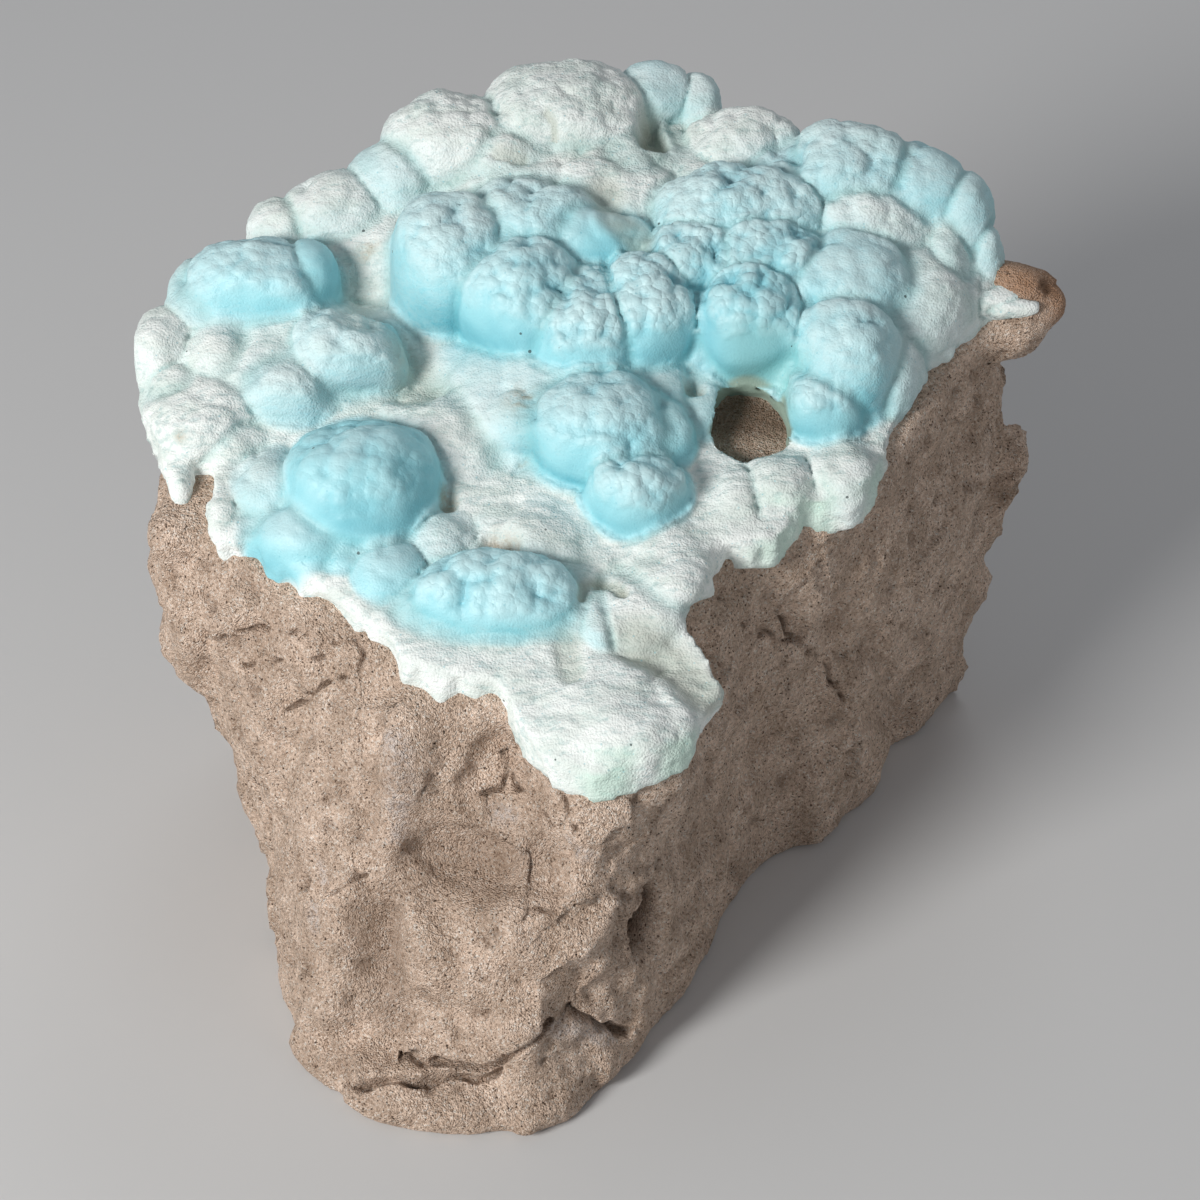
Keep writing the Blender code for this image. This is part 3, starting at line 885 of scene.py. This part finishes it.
# %% Crust colour masks
GREEN_PLACES = [((1, -37), 5.0), ((9, -34), 5.0), ((21, -4), 6.0), ((26, -1), 5.0),
                ((20.5, 11.5), 8.0), ((33, 3), 5.0)]
RUST_PIXELS = [((522, 398), 3.0), ((370, 252), 2.2), ((500, 541), 2.4), ((444, 495), 1.8),
               ((180, 437), 1.2), ((520, 462), 1.4)]
RUST_SHARE = 0.75
BUBBLE_SHARES = (0.45, 0.35, 0.20)

green = np.zeros(len(skin))
for (x, y), reach in GREEN_PLACES:
    across = np.linalg.norm(skin[:, :2] - np.array(on_bed(x, y))[:2], axis=1)
    green = np.maximum(green, smoothstep(reach, 0.3 * reach, across))
green *= smoothstep(0.8, 0.3, facing[:, 2]) * (1 - 0.6 * blue)

rust = np.zeros(len(skin))
crust_tree = tree_of(crust)
for pixel, reach in RUST_PIXELS:
    far = np.linalg.norm(skin - photo_point(crust_tree, *pixel), axis=1)
    rust = np.maximum(rust, smoothstep(1.2 * reach, 0.1 * reach, far))
rust = np.maximum(RUST_SHARE * rust * smoothstep(-0.5, 0.3, felt + slow), rusty_dent)

# The wall of the well gets a dark grey-green: its glassy colour darkened by painted shade.
from_well = (skin - np.array(well_middle)) / np.array(WELL_HALF_SIZE)
well_wall = smoothstep(1.16, 1.04, np.linalg.norm(from_well, axis=1))
well_wall *= smoothstep(0.6, 0.3, facing[:, 2])
knob_tips = np.array([big, middling, tiny]).T @ np.array(BUBBLE_SHARES)
# facing_up_light paints light and shade: pale where the skin faces up, deep blue on the steep
# sides.
masks = {"well": well_wall, "blue": blue, "facing_up_light": 0.5 + 0.5 * facing[:, 2],
         "knob_tips": knob_tips, "knobbly": knob_share, "crease": crease,
         "olive_shade": olive_shade, "green": green, "rust": rust}
for name, values in masks.items():
    set_mask(crust, name, values)
print("green points:", int((green > 0.4).sum()), "rust points:", int((rust > 0.4).sum()))

# %% [markdown]
# Materials are built as node trees. A short helper adds a node and fills its sockets,
# from another node's socket or with a plain value. Sizes of patterns are given in
# millimetres, and turned into the scale that a texture node wants.

# %% Node helpers
def fill(tree, socket, value):
    if isinstance(value, bpy.types.NodeSocket):
        tree.links.new(value, socket)
    else:
        socket.default_value = value


def add(tree, kind, sockets=None, **settings):
    node = tree.nodes.new(kind)
    for key, value in settings.items():
        setattr(node, key, value)
    for name, value in (sockets or {}).items():
        fill(tree, node.inputs[name], value)
    return node


def calc(tree, operation, *values):
    """One step of arithmetic on sockets or plain numbers."""
    return add(tree, "ShaderNodeMath", dict(enumerate(values)), operation=operation).outputs[0]


def span(tree, value, low, high, to_low=0.0, to_high=1.0):
    """The value's run from low to high, as a run from to_low to to_high."""
    sockets = {"Value": value, "From Min": low, "From Max": high,
               "To Min": to_low, "To Max": to_high}
    return add(tree, "ShaderNodeMapRange", sockets, clamp=True).outputs[0]


def mask(tree, name):
    return add(tree, "ShaderNodeAttribute", attribute_name=name).outputs["Fac"]


def scale_for(size_mm):
    return 1.0 / (size_mm * MM)


def clouds(tree, vector, size_mm, detail, roughness=0.5):
    """Cloudy noise round 0.5, with features of this size."""
    sockets = {"Vector": vector, "Scale": scale_for(size_mm),
               "Detail": detail, "Roughness": roughness}
    return add(tree, "ShaderNodeTexNoise", sockets).outputs["Fac"]


# %% [markdown]
# Colours are blended in layers. `tint` is the usual layer: another colour, mixed in
# where a mask says, by a given share at most.

# %% Colour and material helpers
def mix(tree, share, low, high, blend="MIX"):
    sockets = {0: share, 6: low, 7: high}
    return add(tree, "ShaderNodeMix", sockets, data_type="RGBA", blend_type=blend).outputs[2]


def tint(tree, colour, where, share, added, blend="MIX"):
    return mix(tree, calc(tree, "MULTIPLY", where, share), colour, added, blend)


def ramp(tree, value, stops):
    node = add(tree, "ShaderNodeValToRGB", {"Fac": value})
    elements = node.color_ramp.elements
    elements[0].position, elements[0].color = stops[0][0], (*stops[0][1], 1)
    elements[1].position, elements[1].color = stops[-1][0], (*stops[-1][1], 1)
    for position, colour in stops[1:-1]:
        elements.new(position).color = (*colour, 1)
    return node.outputs[0]


def new_group(name, inputs, outputs):
    """A group of nodes whose sockets are plain numbers, but for the vector it reads."""
    group = bpy.data.node_groups.new(name, "ShaderNodeTree")
    for socket in inputs:
        kind = "NodeSocketVector" if socket == "Vector" else "NodeSocketFloat"
        group.interface.new_socket(socket, in_out="INPUT", socket_type=kind)
    for socket in outputs:
        group.interface.new_socket(socket, in_out="OUTPUT", socket_type="NodeSocketFloat")
    entry = group.nodes.new("NodeGroupInput")
    leave = group.nodes.new("NodeGroupOutput")
    return group, entry.outputs, leave.inputs


def use_group(tree, group, vector, size_mm, **more):
    sockets = {"Vector": vector, "Scale": scale_for(size_mm), **more}
    return add(tree, "ShaderNodeGroup", sockets, node_tree=group).outputs


def new_material(name):
    made = bpy.data.materials.new(name)
    made.use_nodes = True
    tree = made.node_tree
    shader = tree.nodes["Principled BSDF"]
    place = add(tree, "ShaderNodeTexCoord").outputs["Object"]
    return made, tree, shader, place


def set_surface(tree, shader, colour, roughness, specular, height, strength, distance_mm):
    """Links the colour, and a bump of this height, to the shader."""
    bump = add(tree, "ShaderNodeBump",
               {"Height": height, "Strength": strength, "Distance": distance_mm * MM})
    fill(tree, shader.inputs["Base Color"], colour)
    fill(tree, shader.inputs["Roughness"], roughness)
    fill(tree, shader.inputs["Specular IOR Level"], specular)
    fill(tree, shader.inputs["Normal"], bump.outputs[0])


def dress(obj, material):
    obj.data.materials.clear()
    obj.data.materials.append(material)
    obj.data.shade_smooth()


# %% [markdown]
# Both finishes are granular at the scale of sand: the rock truly is sand, and the felt
# of the aragonite is a mat of tiny needles. One group gives both: a number that is
# steady inside each grain, and the grain's rounded height.

# %% The grain group
grain_group, g_in, g_out = new_group("grain", ["Vector", "Scale"], ["Tone", "Height"])
g_sockets = {"Vector": g_in["Vector"], "Scale": g_in["Scale"]}
g_cells = add(grain_group, "ShaderNodeTexVoronoi", g_sockets)
g_tone = add(grain_group, "ShaderNodeSeparateColor", {"Color": g_cells.outputs["Color"]})
g_noise = add(grain_group, "ShaderNodeTexNoise", {**g_sockets, "Detail": 1.0})
g_round = calc(grain_group, "SUBTRACT", 1.0, g_cells.outputs["Distance"])
g_height = calc(grain_group, "ADD", g_round, g_noise.outputs["Fac"])
grain_group.links.new(g_tone.outputs[0], g_out["Tone"])
grain_group.links.new(g_height, g_out["Height"])
print("grain group nodes:", len(grain_group.nodes))

# %% [markdown]
# Scattered dark specks show on both: dark mineral grains in the sand, and pinpricks of
# dirt on the crust. This group picks a few cells of a fine scatter and keeps only a
# spot in the middle of each.

# %% The speck group
speck_group, s_in, s_out = new_group(
    "specks", ["Vector", "Scale", "Share", "Spot"], ["Mask"])
s_cells = add(speck_group, "ShaderNodeTexVoronoi",
              {"Vector": s_in["Vector"], "Scale": s_in["Scale"]})
s_tone = add(speck_group, "ShaderNodeSeparateColor", {"Color": s_cells.outputs["Color"]})
s_chosen = calc(speck_group, "LESS_THAN", s_tone.outputs[1], s_in["Share"])
s_near = calc(speck_group, "LESS_THAN", s_cells.outputs["Distance"], s_in["Spot"])
speck_group.links.new(calc(speck_group, "MULTIPLY", s_chosen, s_near), s_out["Mask"])
print("speck group nodes:", len(speck_group.nodes))

# %% [markdown]
# The smallest knobs of the crust, a millimetre across, are finer than its mesh. This
# group gives the height of such a bubble for the bump. A little noise bends the place
# first, so that the bubbles aren't all alike.

# %% The bubble group
BUBBLE_BEND = 0.4

bubble_group, b_in, b_out = new_group("bubbles", ["Vector", "Scale"], ["Height"])
b_noise = add(bubble_group, "ShaderNodeTexNoise",
              {"Vector": b_in["Vector"], "Scale": b_in["Scale"], "Detail": 0.0})
b_bend = add(bubble_group, "ShaderNodeVectorMath",
             {0: b_noise.outputs["Color"], 1: (BUBBLE_BEND * MM,) * 3}, operation="MULTIPLY")
b_place = add(bubble_group, "ShaderNodeVectorMath",
              {0: b_in["Vector"], 1: b_bend.outputs[0]}, operation="ADD")
b_cells = add(bubble_group, "ShaderNodeTexVoronoi",
              {"Vector": b_place.outputs[0], "Scale": b_in["Scale"]})
b_square = calc(bubble_group, "POWER", b_cells.outputs["Distance"], 2.0)
bubble_group.links.new(calc(bubble_group, "SUBTRACT", 1.0, b_square), b_out["Height"])
print("groups:", [group.name for group in bpy.data.node_groups])

# %% [markdown]
# The rock is a tan sandstone. Each grain has its own tone, from near black through
# brown and tan to almost white, under a slow mottling, finer patches and dark specks.

# %% Sand of the rock
DARK_GRAIN = (0.10, 0.065, 0.045)
BROWN_GRAIN = (0.54, 0.41, 0.32)
TAN_GRAIN = (0.87, 0.70, 0.58)
PALE_GRAIN = (0.95, 0.90, 0.84)
GRAIN_SIZE = 0.22
MOTTLE_SIZE = 5.0
PATCH_SIZE = 0.6
ROCK_SPECK_SIZE = 0.8

rock_material, tree, shader, place = new_material("sandy_rock")
grain = use_group(tree, grain_group, place, GRAIN_SIZE)
sand = ramp(tree, grain["Tone"], [
    (0.0, DARK_GRAIN), (0.045, BROWN_GRAIN), (0.34, TAN_GRAIN), (0.80, TAN_GRAIN),
    (1.0, PALE_GRAIN),
])
mottle = clouds(tree, place, MOTTLE_SIZE, 4.0)
slow_shade = ramp(tree, mottle, [(0.33, (0.76, 0.72, 0.68)), (0.66, (1.08, 1.06, 1.04))])
patches = clouds(tree, place, PATCH_SIZE, 4.0, 0.65)
fine_shade = ramp(tree, patches, [(0.34, (0.74, 0.69, 0.65)), (0.62, (1.08, 1.08, 1.08))])
colour = mix(tree, 1.0, sand, slow_shade, "MULTIPLY")
colour = mix(tree, 1.0, colour, fine_shade, "MULTIPLY")
specks = use_group(tree, speck_group, place, ROCK_SPECK_SIZE, Share=0.05, Spot=0.18)
colour = tint(tree, colour, specks["Mask"], 0.75, (*DARK_GRAIN, 1))
print("sand nodes:", len(tree.nodes))

# %% [markdown]
# A few ridges have a whitish calcite skin, and the knob at the right is iron-stained.
# The cracks are darkened brown, and the same brown is painted shade in the recesses,
# with brown stain in the deepest hollow. The surface is dull, and the grains and
# patches roughen it.

# %% Stains and surface of the rock
DUST_AND_SHADE_BROWN = (0.13, 0.075, 0.045, 1)
CALCITE = (0.72, 0.65, 0.62, 1)
IRON = (0.46, 0.25, 0.14, 1)
ROCK_ROUGHNESS = 0.92
ROCK_SPECULAR = 0.25
ROCK_BUMP = 0.40

patchy = span(tree, patches, 0.42, 0.60, 0.1, 0.75)
blotchy = span(tree, mottle, 0.35, 0.65, 0.35, 0.85)
colour = tint(tree, colour, mask(tree, "calcite"), patchy, CALCITE)
colour = tint(tree, colour, mask(tree, "iron_stain"), blotchy, IRON)
# Dark brown in the cracks and painted shade in the recesses.
colour = tint(tree, colour, mask(tree, "recess_dust_and_shade"), 0.75, DUST_AND_SHADE_BROWN)
height = calc(tree, "MULTIPLY_ADD", patches, 3.0, grain["Height"])
set_surface(tree, shader, colour, ROCK_ROUGHNESS, ROCK_SPECULAR, height, 0.9, ROCK_BUMP)
dress(rock, rock_material)
print("rock material nodes:", len(tree.nodes))

# %% [markdown]
# Aragonite of this kind is milky. Four patterns vary it: broad clouds, slow drifts and
# fine flecks, both drawn out sideways, and a grain as fine as its needles.

# %% Patterns of the crust
CRUST_CLOUD_SIZE = 7.0
DRIFT_SIZE = 3.0
FLECK_SIZE = 0.8
NEEDLE_SIZE = 0.30
DRAWN_OUT = (0.45, 1.0, 1.0)

crust_material, tree, shader, place = new_material("aragonite")
streaky = add(tree, "ShaderNodeVectorMath", {0: place, 1: DRAWN_OUT}, operation="MULTIPLY")
cloud = clouds(tree, place, CRUST_CLOUD_SIZE, 2.0)
drift = clouds(tree, streaky.outputs[0], DRIFT_SIZE, 2.0)
fleck = clouds(tree, streaky.outputs[0], FLECK_SIZE, 3.0, 0.7)
needles = use_group(tree, grain_group, place, NEEDLE_SIZE)
print("pattern nodes:", len(tree.nodes))

# %% [markdown]
# The colour of a lump runs from a clear blue low on its sides, through sky blue, to a
# pale cap. That run follows which way the skin faces, so it is painted light and shade:
# painted shade deepens the sides and painted light pales the caps. The grooves between
# its knobs get painted shade as a deeper blue, and the tips of the knobs are paler.

# %% Blue of the lumps
DEEP_BLUE = (0.16, 0.49, 0.58, 1)
SKY_BLUE = (0.34, 0.69, 0.76, 1)
PALE_BLUE = (0.51, 0.75, 0.79, 1)
TIP_BLUE = (0.60, 0.79, 0.81, 1)

facing_up_light = mask(tree, "facing_up_light")
blue_share = mask(tree, "blue")
on_knobs = mask(tree, "knobbly")
tip_height = mask(tree, "knob_tips")
uneven = calc(tree, "MULTIPLY", calc(tree, "SUBTRACT", cloud, 0.5), 0.5)
deepest = calc(tree, "MULTIPLY", span(tree, blue_share, 0.80, 1.0), 0.25)
# Painted light and shade: paler where the skin faces up, deeper blue where it faces sideways.
paleness = calc(tree, "SUBTRACT", calc(tree, "ADD", facing_up_light, uneven), deepest)
body = ramp(tree, paleness, [
    (0.30, DEEP_BLUE[:3]), (0.62, SKY_BLUE[:3]), (0.98, PALE_BLUE[:3])])
# Painted shade: a deeper blue in the grooves between the knobs.
body = tint(tree, body, on_knobs, span(tree, tip_height, 0.86, 0.60, 0.0, 0.75), DEEP_BLUE)
body = tint(tree, body, on_knobs, span(tree, tip_height, 0.82, 0.97, 0.0, 0.6), TIP_BLUE)
print("nodes with the blue:", len(tree.nodes))

# %% [markdown]
# Between the lumps lies white felt with grey-green flecks. It covers the foot of each
# lump with a ragged edge, and thins out on the chalky caps.

# %% Felt between the lumps
FELT_WHITE = (0.83, 0.87, 0.85, 1)
FELT_GREY = (0.61, 0.71, 0.70, 1)

flecked = calc(tree, "ADD", fleck, calc(tree, "MULTIPLY", cloud, 0.25))
felt_colour = mix(tree, span(tree, flecked, 0.46, 0.62), FELT_GREY, FELT_WHITE)
felt_shade = ramp(tree, drift, [(0.35, (0.84, 0.88, 0.86)), (0.60, (1.0, 1.0, 1.0))])
felt_colour = mix(tree, 1.0, felt_colour, felt_shade, "MULTIPLY")
ragged = calc(tree, "MULTIPLY", calc(tree, "SUBTRACT", fleck, 0.5), 0.35)
chalky = calc(tree, "MULTIPLY", span(tree, facing_up_light, 0.80, 1.0), span(tree, cloud, 0.35, 0.7))
blue_edge = calc(tree, "SUBTRACT", calc(tree, "ADD", blue_share, ragged),
                 calc(tree, "MULTIPLY", chalky, 0.15))
blue_mix = span(tree, blue_edge, 0.05, 0.62)
colour = mix(tree, blue_mix, felt_colour, body)
print("nodes with the felt:", len(tree.nodes))

# %% [markdown]
# Then the marks and the painted shade: glassy green at the rim, painted shade in the
# creases, rusty dents, olive-grey dents that are partly painted shade, the grey-green
# wall of the well darkened by painted shade, blue pinholes and a few specks of dirt.

# %% Marks and painted shade on the crust
GLASS_GREEN = (0.50, 0.74, 0.62, 1)
CREASE_SHADE = (0.55, 0.72, 0.72, 1)
OLIVE_SHADE = (0.40, 0.43, 0.35, 1)
WELL_GLASS_AND_SHADE = (0.30, 0.36, 0.28, 1)
RUST = (0.34, 0.25, 0.14, 1)
INK = (0.03, 0.05, 0.05, 1)
PINHOLE_SIZE = 0.9
DIRT_SIZE = 3.2

colour = tint(tree, colour, mask(tree, "green"), 0.55, GLASS_GREEN)
colour = tint(tree, colour, mask(tree, "crease"), 0.6, CREASE_SHADE, "MULTIPLY")
# Olive-grey in the dents and basins, partly painted shade.
colour = tint(tree, colour, mask(tree, "olive_shade"), span(tree, drift, 0.3, 0.6, 0.5, 0.9), OLIVE_SHADE)
# Glassy grey-green with painted shade on the wall of the well.
colour = tint(tree, colour, mask(tree, "well"), 0.85, WELL_GLASS_AND_SHADE)
rusty = calc(tree, "MULTIPLY", mask(tree, "rust"), span(tree, fleck, 0.3, 0.6))
colour = tint(tree, colour, rusty, 0.85, RUST)
pinholes = use_group(tree, speck_group, place, PINHOLE_SIZE, Share=0.30, Spot=0.15)
in_grey = span(tree, fleck, 0.5, 0.7, 0.4, 0.0)
colour = tint(tree, colour, pinholes["Mask"], in_grey, DEEP_BLUE)
dirt = use_group(tree, speck_group, place, DIRT_SIZE, Share=0.10, Spot=0.07)
colour = tint(tree, colour, dirt["Mask"], 0.8, INK)
print("nodes with the marks:", len(tree.nodes))

# %% [markdown]
# The blue is a little waxy and the felt is dull. Flecks and needles roughen the felt
# most, and small bubbles roughen the knobs.

# %% Surface of the crust
SMALL_BUBBLE_SIZE = 1.15
CRUST_SPECULAR = 0.4
CRUST_BUMP = 0.20

dullness = span(tree, blue_mix, 0.0, 1.0, 0.85, 0.48)
felted = calc(tree, "SUBTRACT", 1.0, calc(tree, "MULTIPLY", blue_share, 0.8))
mat = calc(tree, "MULTIPLY_ADD", fleck, 1.6, calc(tree, "MULTIPLY", needles["Height"], 0.6))
bubble = use_group(tree, bubble_group, place, SMALL_BUBBLE_SIZE)
knobs = calc(tree, "MULTIPLY", bubble["Height"], on_knobs)
height = calc(tree, "MULTIPLY_ADD", knobs, 2.2, calc(tree, "MULTIPLY", mat, felted))
set_surface(tree, shader, colour, dullness, CRUST_SPECULAR, height, 0.7, CRUST_BUMP)
dress(crust, crust_material)
print("crust material nodes:", len(tree.nodes))

# %% [markdown]
# Both pieces take the place of their CAD nodes and ride on the one body there is.

# %% Pieces on the frame
for piece, node, slot_name in ((rock, "matrix_rock", "sandy_rock"),
                               (crust, "aragonite_crust", "aragonite")):
    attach(piece, "root")
    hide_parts(node)
    print(piece.name, "triangles:", sum(len(f.vertices) - 2 for f in piece.data.polygons))

# %% [markdown]
# The set is a plain pale floor under soft studio light. A large lamp at the upper front
# left is the key, as in the photograph, where the right face of the rock lies in shade.
# A weak lamp at the right and a pale sky keep that face readable, and a weak one behind
# draws the far rim. A lamp's row has its name, place, size, power in watts and colour.

# %% Floor and light
FLOOR_SIDE = 4.0
FLOOR_GREY = (0.62, 0.62, 0.62, 1)
FLOOR_ROUGHNESS = 0.9
LAMP_AIM = Vector((0, 0, 0.05))
LAMPS = [
    ("key", (-0.50, -0.52, 0.40), 0.26, 6.1, (1.0, 0.985, 0.96)),
    ("back_rim", (0.15, 0.60, 0.55), 0.40, 0.8, (0.96, 0.98, 1.0)),
    ("right_fill", (0.60, -0.45, 0.30), 0.50, 0.5, (1.0, 0.98, 0.96)),
]
SKY_COLOUR = (0.93, 0.95, 1.0, 1)
SKY_STRENGTH = 0.22

floor_bm = bmesh.new()
bmesh.ops.create_grid(floor_bm, x_segments=1, y_segments=1, size=FLOOR_SIDE / 2)
floor = object_of("floor", floor_bm)
floor_material, tree, shader, place = new_material("floor")
fill(tree, shader.inputs["Base Color"], FLOOR_GREY)
fill(tree, shader.inputs["Roughness"], FLOOR_ROUGHNESS)
floor.data.materials.append(floor_material)


def add_lamp(name, place, size, watts, colour):
    lamp = bpy.data.lights.new(name, "AREA")
    lamp.shape = "DISK"
    lamp.size = size
    lamp.energy = watts
    lamp.color = colour
    obj = bpy.data.objects.new(name, lamp)
    obj.location = place
    way = LAMP_AIM - Vector(place)
    obj.rotation_euler = way.to_track_quat("-Z", "Y").to_euler()
    bpy.context.scene.collection.objects.link(obj)


for lamp_values in LAMPS:
    add_lamp(*lamp_values)
world = bpy.data.worlds.new("studio")
world.use_nodes = True
sky = world.node_tree.nodes["Background"]
sky.inputs["Color"].default_value = SKY_COLOUR
sky.inputs["Strength"].default_value = SKY_STRENGTH
bpy.context.scene.world = world
bpy.context.scene.view_settings.view_transform = "Standard"
